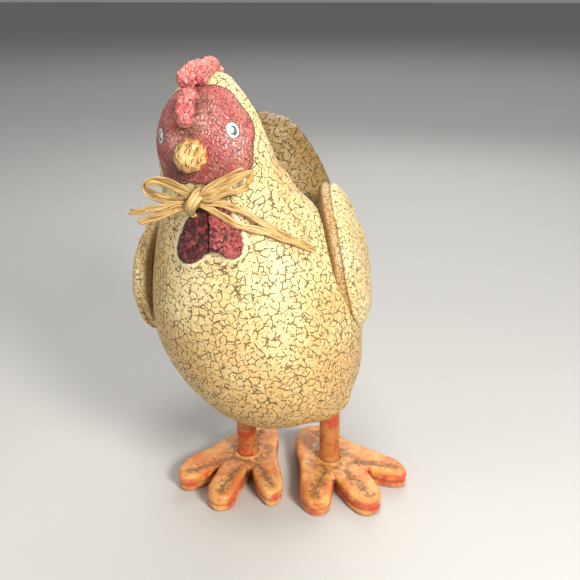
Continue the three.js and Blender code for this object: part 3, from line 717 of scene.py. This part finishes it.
def wing(node, name, side, out, cant, up, tall):
    outline = closed_curve(WING_OUTLINE, WING_COLUMNS)
    centre = np.array(WING_MIDDLE)
    spokes = outline - centre
    length = np.linalg.norm(spokes, axis=1, keepdims=True)
    bow = np.polyfit(np.array(WING_REACH[0]) - centre[1], WING_REACH[1], 3)
    rings, deep = [], []
    for share, inset, down in WING_PROFILE:
        at = centre + spokes * share * (1 - inset / length)
        wrap = np.where(at[:, 0] < centre[0], 0.0052, 0.0085)
        stand = out + cant * np.maximum(at[:, 1] - centre[1], 0) / 40
        x = np.polyval(bow, at[:, 1] - centre[1]) - wrap * (at[:, 0] - centre[0]) ** 2 + stand - down
        z = centre[1] + (at[:, 1] - centre[1]) * tall + up
        rings.append(np.stack([side * x, at[:, 0], z], -1))
        deep.append(np.full(WING_COLUMNS, down))
    piece = piece_from_grid(name, in_bird_place(rings))
    p = bird_points(piece)
    p[:, 2] = centre[1] + (p[:, 2] - up - centre[1]) / tall
    deep = np.concatenate([np.concatenate(deep), [deep[0][0], deep[-1][0]]])
    face = np.clip(1 - deep / 3.2, 0, 1)
    across = (p[:, 1] + 8) * 0.434 + (p[:, 2] - 164) * 0.901
    lower = (p[:, 1] - 9) * 0.574 + (p[:, 2] - 122) * 0.819
    reach = np.clip((p[:, 1] + 12) / 20, 0, 1)
    crease = 1.0 * bell(across, 1.7) + 0.6 * bell(across, 6)
    crease += (0.8 * bell(lower, 2.2) + 0.4 * bell(lower, 7)) * reach
    bumps = 0.45 * lumps(p, 15, side + 8) + 0.2 * lumps(p, 5, side + 2) + 0.1 * lumps(p, 2.2, side)
    push(piece, bumps - crease * face)
    groove = bell(deep - 4.5, 1.1) * np.clip((20 - p[:, 1]) / 20, 0.35, 1)
    set_attribute(piece, "groove", groove)
    set_attribute(piece, "flange", np.clip((deep - 2.4) / 3.4, 0, 1))
    set_attribute(piece, "tucked_shade", np.clip((deep - 6.6) / 2.0, 0, 1))
    p = Paint(name + "_crackle")
    colour, rough, height = crackle(p, 2.9, 0.36, 0.15)
    fibre = p.noise(1.2, 3, 0.7)
    stain = p.math("MULTIPLY", p.attribute("groove"), p.step(fibre, 0.30, 0.62, 0.35, 1))
    brown = 0.9 if side > 0 else 0.15
    washed = p.math("MULTIPLY", p.attribute("flange"), p.step(fibre, 0.25, 0.60, brown * 0.5, brown))
    colour = p.mix(washed, colour, (0.36, 0.19, 0.055))
    # Painted shade: near-black brown where the wing tucks in against the body.
    colour = p.mix(p.math("MULTIPLY", p.attribute("tucked_shade"), 0.8), colour, (0.14, 0.07, 0.02))
    colour = p.mix(p.math("MULTIPLY", stain, brown * 0.5), colour, (0.28, 0.13, 0.035))
    finish_piece(piece, p.finish(colour, rough, height, bump=0.3), "crackle_papier_mache", node)


# ------------------------------------------------------------------ comb, beak and wattles
COMB = {
    "comb_front_lobe": [
        ((2.4, -48.5, 231.6), (4.3, 6.0, 4.0)), ((0.7, -50.0, 227.2), (4.2, 5.4, 4.8)),
        ((-0.2, -50.6, 223.4), (3.3, 4.6, 4.2)), ((2.0, -53.2, 224.8), (1.6, 2.2, 4.0)),
    ],
    "comb_middle_lobe": [
        ((1.4, -42.0, 238.6), (3.8, 6.0, 4.8)), ((5.2, -35.0, 240.2), (5.6, 8.0, 5.6)),
        ((3.6, -38.5, 242.0), (3.6, 5.0, 3.6)), ((8.2, -28.0, 241.8), (3.4, 6.5, 4.2)),
    ],
    "comb_rear_lobe": [
        ((6.2, -17.5, 241.0), (4.0, 7.5, 4.4)), ((4.6, -10.0, 237.0), (5.0, 6.5, 4.8)),
    ],
}  # fmt: skip


def red_paint(name, dark):
    """The wrinkled red of the comb and wattles. dark is the share worked over with black, which on her right
    wattle also stands in for painted shade.
    """
    p = Paint(name)
    colour, height = red_wrinkles(p, 2.4 - dark * 2, 0.85 - dark * 0.3, 0.3 - dark * 0.9)
    patches = p.step(p.noise(3.0, 4, 0.75, warp=0.9), 0.64 - dark * 0.4, 0.70 - dark * 0.34)
    colour = p.mix(dark * 0.7, colour, (0.40, 0.030, 0.040))
    colour = p.mix(p.math("MULTIPLY", patches, 0.88), colour, (0.040, 0.012, 0.018))
    return p.finish(colour, 0.25, height, bump=0.6 + dark * 1.2)


def comb():
    paint = red_paint("comb_red", 0.0)
    for seed, (node, balls) in enumerate(COMB.items()):
        piece = blob(node.replace("_lobe", ""), balls, 0.6, 5)
        p = bird_points(piece)
        ruffle = np.abs(lumps(p * (1, 1, 0.6), 4.2, seed))
        push(piece, 0.6 * lumps(p, 3.4, seed + 3) + 1.4 * (0.25 - ruffle) + 0.3 * lumps(p, 1.3, seed))
        finish_piece(piece, paint, "red_papier_mache", node)


BEAK_TIP = (-1.8, -60.5, 205.6)
BEAK_ROOT = (-1.8, -46, 207.4)
BEAK_PROFILE = ([0, 0.06, 0.2, 0.4, 0.6, 0.8, 0.93, 1], [7.4, 7.6, 7.5, 6.9, 5.9, 4.4, 2.6, 0.6])
BEAK_ROWS = 44
BEAK_COLUMNS = 72


def beak():
    root, tip = Vector(BEAK_ROOT), Vector(BEAK_TIP)
    axis = (tip - root).normalized()
    side = axis.cross(Vector((0, 0, 1))).normalized()
    rise = side.cross(axis)
    rings, along = [], []
    for row in range(BEAK_ROWS):
        t = row / (BEAK_ROWS - 1)
        radius = float(np.interp(t, *BEAK_PROFILE))
        middle_point = root + (tip - root) * t
        ring = []
        for column in range(BEAK_COLUMNS):
            turn = 2 * math.pi * column / BEAK_COLUMNS
            way = side * math.cos(turn) + rise * math.sin(turn)
            pleat = 0.22 * math.sin(9 * turn + 2 * t) + 0.14 * math.sin(17 * turn + 1)
            ring.append(middle_point + way * (radius + pleat * min(1, radius / 5)))
            along.append(t)
        rings.append(ring)
    piece = piece_from_grid("beak_cone", in_bird_place(rings)[:, ::-1])
    p = bird_points(piece)
    push(piece, 0.35 * lumps(p, 3.5, 2) + 0.18 * lumps(p, 1.3, 3))
    set_attribute(piece, "along", along + [0, 1])
    p = Paint("beak_ochre")
    streak = p.noise(2.2, 4, 0.7, warp=1.6, vector=p.stretch(p.place, (1.7, 0.35, 0.55)))
    colour = p.mix(p.step(streak, 0.34, 0.66), (0.84, 0.60, 0.28), (0.62, 0.32, 0.085))
    lines = p.step(p.noise(1.5, 3, 0.6, warp=1.0, vector=p.stretch(p.place, (1.8, 0.3, 0.5))), 0.53, 0.61)
    colour = p.mix(p.math("MULTIPLY", lines, 0.9), colour, (0.17, 0.070, 0.018))
    pale = p.step(p.noise(1.0, 3, 0.7), 0.60, 0.72, 0, 0.6)
    colour = p.mix(pale, colour, (0.92, 0.78, 0.52))
    rim = p.step(p.attribute("along"), 0.12, 0.40, 0.8, 0)
    colour = p.mix(rim, colour, (0.62, 0.20, 0.035))
    paint = p.finish(colour, 0.42, p.math("SUBTRACT", streak, lines), bump=0.5)
    finish_piece(piece, paint, "ochre_papier_mache", "beak")


WATTLES = {
    "right_wattle": [
        (0.3, 183.4), (-3.2, 182.9), (-8.8, 180.2), (-13.8, 175.3), (-18.0, 169.4), (-20.6, 163.6),
        (-20.4, 159.2), (-16.5, 157.0), (-10.8, 158.0), (-6.2, 160.6), (-2.8, 163.6), (-1.4, 172.5),
    ],
    "left_wattle": [
        (0.4, 183.4), (-1.2, 172.5), (-2.6, 163.6), (0.6, 161.2), (4.2, 158.6), (8.2, 157.3),
        (11.4, 158.9), (12.7, 163.5), (12.2, 169.5), (10.4, 175.6), (7.4, 181.3), (3.6, 183.6),
    ],
}  # fmt: skip
WATTLE_PROFILE = [
    (0.1, -2), (0.6, -2), (0.97, -1.6), (1, -0.6), (1, 0.5), (0.98, 1.5), (0.94, 2.2), (0.88, 2.7),
    (0.8, 2.95), (0.7, 3.1), (0.6, 3.2), (0.5, 3.25), (0.4, 3.3), (0.3, 3.3), (0.2, 3.3), (0.1, 3.3),
]  # fmt: skip


def wattles(breast):
    for node, outline in WATTLES.items():
        ring = closed_curve(outline, 120)
        centre = ring.mean(0)
        rings = []
        for share, proud in WATTLE_PROFILE:
            row = []
            for x, z in centre + (ring - centre) * share:
                start = Vector((x, -120, z))
                far = breast.ray_cast(start, Vector((0, 1, 0)))[3]
                ridge = abs(x + 0.95 + (173 - z) * 0.15)
                rise = proud + 1.5 * bell(ridge, 3.2) * min(1, max(0, proud) / 3)
                row.append((x, -120 + far - rise, z))
            rings.append(row)
        piece = piece_from_grid(node + "_relief", in_bird_place(rings))
        p = bird_points(piece)
        crinkle = 0.9 * (0.3 - np.abs(lumps(p, 2.2, 5))) + 0.4 * lumps(p, 1.1, 6) + 0.4 * lumps(p, 5, 4)
        push(piece, crinkle)
        # Her right wattle gets more black: antique patches, and painted shade, as it is turned away from the
        # light.
        dark = 0.62 if node == "right_wattle" else 0.34
        finish_piece(piece, red_paint(node + "_red", dark), "red_papier_mache", node)


# ------------------------------------------------------------------ raffia bow
# Each tress: the node it stands for, how wide it is, how many split strands it has, and its path.
TRESSES = [
    ("bow_loop_right", 2.5, 3, [
        (-2.7, -53.2, 189.6), (-9.3, -54, 195.8), (-16.6, -54, 199.6), (-22.0, -53.6, 199.4),
        (-25.0, -53, 197.2), (-24.4, -53.5, 194.2), (-21.0, -54, 191.8), (-14.3, -54, 189.8),
        (-5, -53, 188.0)]),
    ("bow_loop_right", 2.0, 2, [
        (-3, -54.4, 189.2), (-9.2, -55, 193.4), (-15.4, -55.4, 196.9), (-19.6, -55.4, 198.6),
        (-22.4, -55, 198.0), (-22.4, -55, 195.9), (-17, -55, 192.4), (-8.2, -54.6, 188.9),
        (-3.4, -54, 187.6)]),
    ("bow_tail_right_upper", 2.7, 3, [
        (-2.8, -54, 187), (-9.5, -55.6, 187.6), (-18.1, -56, 187.3), (-27, -55.6, 187.0),
        (-34.9, -54.6, 187.0)]),
    ("bow_tail_right_lower", 2.6, 2, [
        (-3, -53.6, 185.4), (-9.5, -55, 185.2), (-19.1, -55.8, 183.9), (-26, -55.4, 182.6),
        (-32, -54.6, 181.3)]),
    ("bow_loop_left", 2.5, 3, [
        (0, -54, 190), (6, -54.6, 192.8), (13.2, -54, 195.4), (18.6, -52.4, 197.0), (22.4, -50.6, 197.8)]),
    ("bow_loop_left", 2.4, 2, [
        (0, -54.6, 188.8), (7, -55, 190.6), (13, -54, 192.4), (18.5, -52.4, 194.2), (22.0, -50.4, 195.6),
        (23.4, -48.8, 195.4), (23.2, -48.4, 193.0), (21.0, -49.4, 190.8)]),
    ("bow_loop_left", 2.2, 2, [
        (0, -54, 187.8), (5, -54, 187.9), (11.3, -52.6, 188.5), (16.9, -50.8, 188.9), (22, -48.8, 190)]),
    ("bow_tail_left_upper", 2.9, 3, [
        (-1, -53.4, 187), (3.5, -51, 185.2), (8, -49.5, 183.2), (12.3, -48, 181), (17.2, -46.4, 177),
        (22.3, -44.2, 171.8), (27.4, -41.8, 166), (32.5, -38.8, 160), (37.3, -34.4, 155.5),
        (42.1, -29.5, 150.4)]),
    ("bow_tail_left_lower", 2.9, 3, [
        (-1, -53.4, 185.6), (2, -51, 182.8), (5.7, -50, 178.8), (9.5, -49, 175.2), (14.5, -47.6, 171.4),
        (21.5, -45, 167.6), (27, -42, 163.9), (33, -38.4, 159.3), (39, -33, 153.8)]),
    ("bow_knot", 4.6, 3, [
        (0.6, -49.5, 191.2), (-0.4, -55.6, 190.4), (-2.8, -58, 187.6), (-5.2, -57, 184.6),
        (-6.9, -52.6, 182.0), (-6, -49.5, 182.2)]),
    ("bow_knot", 1.6, 2, [
        (-10.5, -51.6, 192.6), (-6.2, -53, 191.6), (-2, -53.6, 191.8), (3.4, -52.4, 192.4)]),
]  # fmt: skip
STRAND_THICKNESS = 0.24
STRAND_COLUMNS = 18
STRAND_OVERLAP = 1.75
STRAND_CLEARANCE = 0.7  # millimetres kept between a strand's path and the breast
FORWARD_PULL = Vector((0, -0.7, 0))  # turns the flat of a strand to the front


def heading(path, i):
    return path[min(i + 1, len(path) - 1)] - path[max(i - 1, 0)]


def strand_path(centre_line, shift, lift, phase, breast):
    """The centre line moved sideways by shift and out by lift, wandering a little, clear of the breast."""
    path = []
    for i, point in enumerate(centre_line):
        _, outward, _, _ = breast.find_nearest(point)
        flat = heading(centre_line, i).cross(outward + FORWARD_PULL).normalized()
        stray = noise.noise(Vector((i / 11, phase, 1))) * 0.8
        place = point + flat * (shift + stray)
        place += outward * (0.35 * noise.noise(Vector((i / 8, phase, 2))) + lift)
        near, outward, _, _ = breast.find_nearest(place)
        proud = (place - near).dot(outward)
        if proud < STRAND_CLEARANCE:
            place += outward * (STRAND_CLEARANCE - proud)
        path.append(place)
    return path


def strand(path, width, phase, breast):
    """Rings along one flat split strand, cupped and twisting, and how far across and along each point is."""
    rings, across, along = [], [], []
    gone = 0.0
    for i, point in enumerate(path):
        ahead = heading(path, i).normalized()
        gone += (point - path[i - 1]).length if i else 0
        _, outward, _, _ = breast.find_nearest(point)
        outward = (outward + FORWARD_PULL).normalized()
        flat = ahead.cross(outward).normalized()
        twist = 0.55 * noise.noise(Vector((gone / 14, phase, 0)))
        flat = flat * math.cos(twist) + outward * math.sin(twist)
        lift = flat.cross(ahead).normalized()
        end = min(1, 0.55 + i / 8, 0.7 + (len(path) - 1 - i) / 6)
        half = width / 2 * (0.88 + 0.35 * noise.noise(Vector((gone / 7, phase, 4)))) * end
        ring = []
        for column in range(STRAND_COLUMNS):
            turn = 2 * math.pi * column / STRAND_COLUMNS
            u = math.cos(turn)
            cup = 0.20 * half * u * u + 0.07 * math.sin(7 * u + phase)
            thick = STRAND_THICKNESS * math.sin(turn)
            ring.append(point + flat * u * half + lift * (thick - cup))
            across.append(u * half)
            along.append(gone)
        rings.append(ring)
    return rings, across, along


def bow(breast):
    paint = raffia_paint()
    chance = random.Random(7)
    done = {}
    for node, width, count, points in TRESSES:
        centre_line = curve_through(points, 0.7)
        for number in range(count):
            phase = chance.uniform(0, 50)
            shift = (number - (count - 1) / 2) * width / count
            path = strand_path(centre_line, shift, 0.12 * number, phase, breast)
            path = path[: len(path) - chance.randrange(0, 3)]
            parts = done.setdefault(node, [])
            parts.append((strand(path, width / count * STRAND_OVERLAP, phase, breast), phase))
    for node, parts in done.items():
        pieces = []
        for number, ((rings, across, along), phase) in enumerate(parts):
            piece = piece_from_grid(f"{node}_{number}", in_bird_place(rings))
            set_attribute(piece, "across", across + [0, 0])
            set_attribute(piece, "along", along + [along[0], along[-1]])
            set_attribute(piece, "strand", [phase] * (len(across) + 2))
            pieces.append(piece)
        finish_piece(joined(node + "_raffia", pieces), paint, "raffia", node)


def joined(name, pieces):
    """One mesh out of several, keeping their attributes."""
    mesh = bmesh.new()
    for piece in pieces:
        mesh.from_mesh(piece.data)
        bpy.data.objects.remove(piece)
    data = bpy.data.meshes.new(name)
    bmesh.ops.recalc_face_normals(mesh, faces=mesh.faces)
    mesh.to_mesh(data)
    mesh.free()
    data.shade_smooth()
    return linked(name, data)


def raffia_paint():
    p = Paint("raffia_straw")
    line = p.add("ShaderNodeCombineXYZ")
    p.put(p.math("DIVIDE", p.attribute("along"), 9.0), line.inputs[0])
    p.put(p.math("DIVIDE", p.attribute("across"), 0.32), line.inputs[1])
    p.put(p.attribute("strand"), line.inputs[2])
    fibres = p.noise(1.0, 3, 0.6, vector=line.outputs[0])
    slow = p.noise(9, 2, 0.5)
    straw = p.mix(p.step(slow, 0.35, 0.65), (0.50, 0.29, 0.085), (0.60, 0.39, 0.13))
    straw = p.mix(p.step(fibres, 0.52, 0.70), straw, (0.84, 0.65, 0.36))
    straw = p.mix(p.step(fibres, 0.49, 0.38, 0, 0.95), straw, (0.20, 0.090, 0.025))
    edge = p.step(p.math("ABSOLUTE", p.attribute("across")), 0.55, 0.95, 0, 0.55)
    straw = p.mix(edge, straw, (0.33, 0.17, 0.05))
    return p.finish(straw, 0.46, fibres, bump=0.2)


# ------------------------------------------------------------------ legs and feet
# Each foot's ankle, and how far its toes and heel reach from it, each with its turn from straight ahead.
FEET = {
    "left": ((23.3, 6.1), [(36, -7.5), (40, 41.5), (40, 87), (28, -155)]),
    "right": ((-26.7, 3.3), [(38, -51), (38, -10.7), (34.5, 35.5), (24, 175)]),
}
FOOT_GROOVE = 4.6  # height of the groove round the sides


def foot(side, ankle, toes):
    piece = remade(side + "_foot", side + "_foot_carved", 0.8, 5)
    p = (points_of(piece) - np.array(GROUND)) / MM
    rise = normals_of(piece)[:, 2]
    out = p[:, :2] - ankle
    radius = np.linalg.norm(out, axis=1)
    best = np.full(len(p), 1e9)
    across, along = np.zeros(len(p)), np.zeros(len(p))
    for reach, turn in toes:
        way = np.array((math.sin(math.radians(turn)), -math.cos(math.radians(turn))))
        run = out @ way
        off = out @ np.array((-way[1], way[0]))
        far = np.hypot(off, np.minimum(run, 0) * 3)
        better = far < best
        best = np.where(better, far, best)
        across = np.where(better, off, across)
        along = np.where(better, run / reach, along)
    flank = np.clip(1 - np.abs(rise) * 1.3, 0, 1)
    groove = 0.75 * bell(p[:, 2] - FOOT_GROOVE, 0.8) * flank
    top = np.clip(rise, 0, 1) * (p[:, 2] < 12)
    dish = 0.5 * bell(across, 2.5) * top * np.clip(radius / 8 - 1, 0, 1)
    sole = p[:, 2] < 0.8
    ripple = (0.4 * lumps(p, 9, 3) + 0.2 * lumps(p, 3.5, 4)) * (1 - sole)
    push(piece, np.where(sole, 0, ripple - groove - dish))
    set_attribute(piece, "across", across)
    set_attribute(piece, "along", along)
    set_attribute(piece, "ankle", radius)
    set_attribute(piece, "flank", flank)
    set_attribute(piece, "collar", (p[:, 2] > 11.3) * 1.0)
    set_attribute(piece, "groove", bell(p[:, 2] - FOOT_GROOVE, 0.9) * flank)
    finish_piece(piece, foot_paint(side + "_foot_paint"), "painted_wood", side + "_foot")


def foot_paint(name):
    p = Paint(name)
    broad = p.noise(13, 2, 0.55, warp=0.4)
    colour = p.mix(p.step(broad, 0.36, 0.64), (0.64, 0.235, 0.052), (0.80, 0.42, 0.130))
    rosy = p.step(p.noise(8, 2, 0.5), 0.42, 0.60)
    rosy = p.math("MULTIPLY", rosy, p.math("ADD", 0.28, p.math("MULTIPLY", p.attribute("flank"), 0.65)))
    colour = p.mix(rosy, colour, (0.60, 0.065, 0.045))
    grain = p.noise(1.4, 3, 0.6, vector=p.stretch(p.place, (0.5, 0.5, 1.4)))
    colour = p.mix(p.step(grain, 0.40, 0.75, 0, 0.3), colour, (0.40, 0.12, 0.02))
    offset = p.math("MULTIPLY", p.math("SUBTRACT", p.noise(4.5, 3, 0.65), 0.5), 9.0)
    middle_line = p.math("ABSOLUTE", p.math("ADD", p.attribute("across"), offset))
    vein = p.step(middle_line, 0.22, 0.75, 1, 0)
    close = p.step(p.math("ABSOLUTE", p.attribute("across")), 2.5, 6.5, 1, 0)
    branches = p.math("MULTIPLY", p.cracks(p.from_edge(5.2, 0.5), 5.2, 0.6, gaps=0.35), close)
    on_toe = p.step(p.attribute("along"), 0.25, 0.42)
    before_tip = p.step(p.attribute("along"), 1.0, 1.12, 1, 0)
    veins = p.math("MULTIPLY", p.most(vein, branches), p.math("MULTIPLY", on_toe, before_tip))
    veins = p.math("MULTIPLY", veins, p.step(p.attribute("flank"), 0.2, 0.6, 1, 0))
    smoke = p.step(p.attribute("ankle"), 9, 19, 0.85, 0)
    smoke = p.math("MULTIPLY", smoke, p.step(p.noise(4, 3, 0.6), 0.34, 0.60))
    halo = p.math("MULTIPLY", p.step(middle_line, 0.5, 3.8, 0.55, 0), on_toe)
    dirt = p.most(p.math("MULTIPLY", veins, 0.85), smoke, p.math("MULTIPLY", halo, before_tip))
    colour = p.mix(dirt, colour, (0.165, 0.078, 0.032))
    # Painted shade: near-black on the toes' sides near the ankle, down in the notches between the toes.
    between = p.math("MULTIPLY", p.attribute("flank"), p.step(p.attribute("ankle"), 16, 27, 0.85, 0))
    colour = p.mix(between, colour, (0.060, 0.020, 0.010))
    colour = p.mix(p.math("MULTIPLY", p.attribute("groove"), 0.55), colour, (0.22, 0.055, 0.015))
    colour = p.mix(p.math("MULTIPLY", p.attribute("collar"), 0.5), colour, (0.70, 0.36, 0.11))
    height = p.math("SUBTRACT", p.math("MULTIPLY", grain, 0.5), veins)
    return p.finish(colour, p.step(grain, 0.3, 0.8, 0.36, 0.58), height, bump=0.25)


def leg(side):
    node = side + "_leg_dowel"
    piece = remade(node, side + "_leg_painted", 0.7, 4)
    p = points_of(piece) / MM
    waist = np.where(p[:, 2] < 14, 0.35, -0.2)  # it fills its socket in the foot
    push(piece, 0.3 * lumps(p, 9, 11) + 0.12 * lumps(p, 3, 12) + waist)
    p = Paint(side + "_leg_paint")
    broad = p.noise(9, 2, 0.6, warp=0.5)
    # Painted shade: the legs' orange is set much darker and redder than the feet's, for the body's shadow over
    # them.
    colour = p.mix(p.step(broad, 0.38, 0.62), (0.44, 0.125, 0.028), (0.48, 0.185, 0.050))
    colour = p.mix(p.step(p.noise(11, 2, 0.5, warp=0.5), 0.50, 0.66, 0, 0.85), colour, (0.46, 0.040, 0.014))
    crack = p.cracks(p.from_edge(6.0, 0.5), 6.0, 0.5, gaps=0.4)
    streak = p.noise(1.6, 3, 0.6, vector=p.stretch(p.place, (1.5, 1.5, 0.3)))
    colour = p.mix(p.step(streak, 0.5, 0.75, 0, 0.4), colour, (0.36, 0.10, 0.02))
    colour = p.mix(p.math("MULTIPLY", crack, 0.8), colour, (0.17, 0.07, 0.03))
    height = p.math("SUBTRACT", p.math("MULTIPLY", streak, 0.4), crack)
    finish_piece(piece, p.finish(colour, 0.42, height, bump=0.25), "painted_wood", node)


def bare_materials():
    p = Paint("bare_timber")
    rings = p.noise(2.0, 3, 0.6, warp=0.8, vector=p.stretch(p.place, (0.15, 1, 1)))
    colour = p.mix(p.step(rings, 0.35, 0.65), (0.62, 0.42, 0.22), (0.44, 0.27, 0.12))
    timber = p.finish(colour, 0.65, rings, bump=0.2)
    p = Paint("screw_steel")
    brushed = p.noise(0.4, 3, 0.6, vector=p.stretch(p.place, (1, 1, 4)))
    colour = p.mix(p.step(brushed, 0.4, 0.7), (0.46, 0.45, 0.43), (0.30, 0.29, 0.27))
    steel = p.finish(colour, p.step(brushed, 0.3, 0.7, 0.28, 0.5), brushed, bump=0.05, Metallic=1.0)
    for node, material in (("leg_block", timber), ("left_foot_screw", steel), ("right_foot_screw", steel)):
        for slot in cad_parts[node].material_slots:
            slot.material = material


# ------------------------------------------------------------------ assembly
make_camera()
make_studio()
make_floor()
shells = bird_tree("body_front_shell", "body_rear_shell")
body(shells)
tail()
for node, place in WINGS.items():
    wing(node, *place)
comb()
beak()
wattles(shells)
bow(shells)
for side, (ankle, toes) in FEET.items():
    foot(side, ankle, toes)
    leg(side)
bare_materials()
